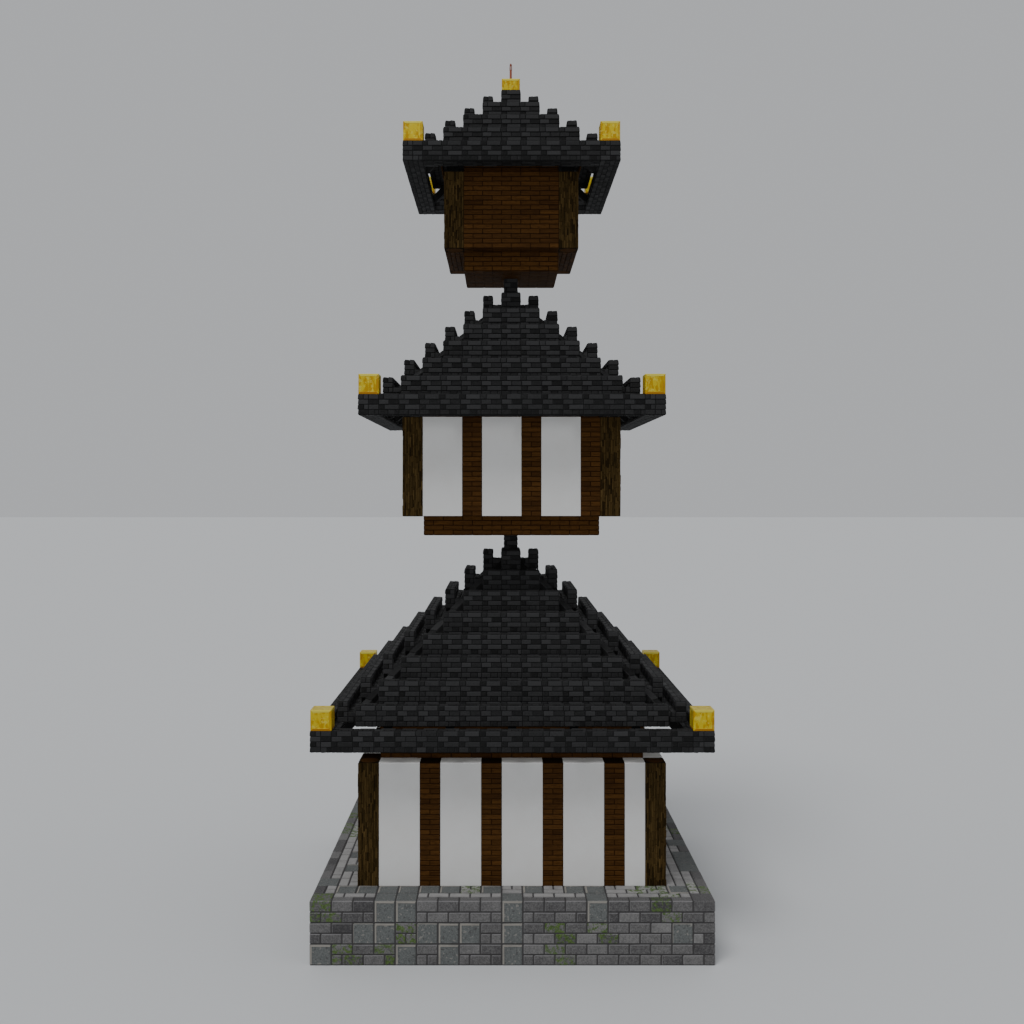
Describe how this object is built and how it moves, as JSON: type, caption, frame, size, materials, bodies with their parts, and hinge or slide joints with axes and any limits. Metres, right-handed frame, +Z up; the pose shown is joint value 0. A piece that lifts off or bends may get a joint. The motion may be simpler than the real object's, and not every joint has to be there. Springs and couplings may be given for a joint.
{
  "type": "japanese castle",
  "caption": "Tall block-built castle keep with a square stone base, timber-framed plaster storeys, stepped tile roofs, gold corner finials and a short spire.",
  "frame": {"origin": "centre of the underside of the stone base, on the ground", "axes": "+Z up; the front, which the picture shows, faces -Y; +X is to the right as seen from the front"},
  "size_m": [11.514, 11.514, 27.8763],
  "materials": {
    "stone": "rough dressed stone with moss",
    "log": "bark",
    "plank": "dark stained boards",
    "plaster": "matt lime plaster",
    "tile": "smoked clay tile, matt",
    "gold": "gilded, satin",
    "copper": "brown weathered copper"
  },
  "bodies": {
    "root": {"stone_base": "stone", "tier1_front_frame": "plank", "tier1_front_plaster": "plaster", "tier1_right_frame": "plank", "tier1_right_plaster": "plaster", "tier1_back_frame": "plank", "tier1_back_plaster": "plaster", "tier1_left_frame": "plank", "tier1_left_plaster": "plaster", "tier1_ceiling": "plank", "tier2_front_frame": "plank", "tier2_front_plaster": "plaster", "tier2_right_frame": "plank", "tier2_right_plaster": "plaster", "tier2_back_frame": "plank", "tier2_back_plaster": "plaster", "tier2_left_frame": "plank", "tier2_left_plaster": "plaster", "tier2_floor": "plank", "tier2_ceiling": "plank", "tier3_front_frame": "log", "tier3_front_planks": "plank", "tier3_back_frame": "log", "tier3_back_planks": "plank", "tier3_right_planks": "plank", "tier3_left_planks": "plank", "tier3_floor": "plank", "tier3_ceiling": "plank", "roof1_front_slope": "tile", "roof1_right_slope": "tile", "roof1_back_slope": "tile", "roof1_left_slope": "tile", "roof1_pillar": "tile", "roof1_finial_front_left": "gold", "roof1_finial_front_right": "gold", "roof1_finial_back_right": "gold", "roof1_finial_back_left": "gold", "roof2_front_slope": "tile", "roof2_right_slope": "tile", "roof2_back_slope": "tile", "roof2_left_slope": "tile", "roof2_pillar": "tile", "roof2_finial_front_left": "gold", "roof2_finial_front_right": "gold", "roof2_finial_back_right": "gold", "roof2_finial_back_left": "gold", "roof3_front_slope": "tile", "roof3_right_slope": "tile", "roof3_back_slope": "tile", "roof3_left_slope": "tile", "roof3_pillar": "tile", "roof3_finial_front_left": "gold", "roof3_finial_front_right": "gold", "roof3_finial_back_right": "gold", "roof3_finial_back_left": "gold", "crown_finial": "gold", "spire": "copper"}
  },
  "joints": []
}
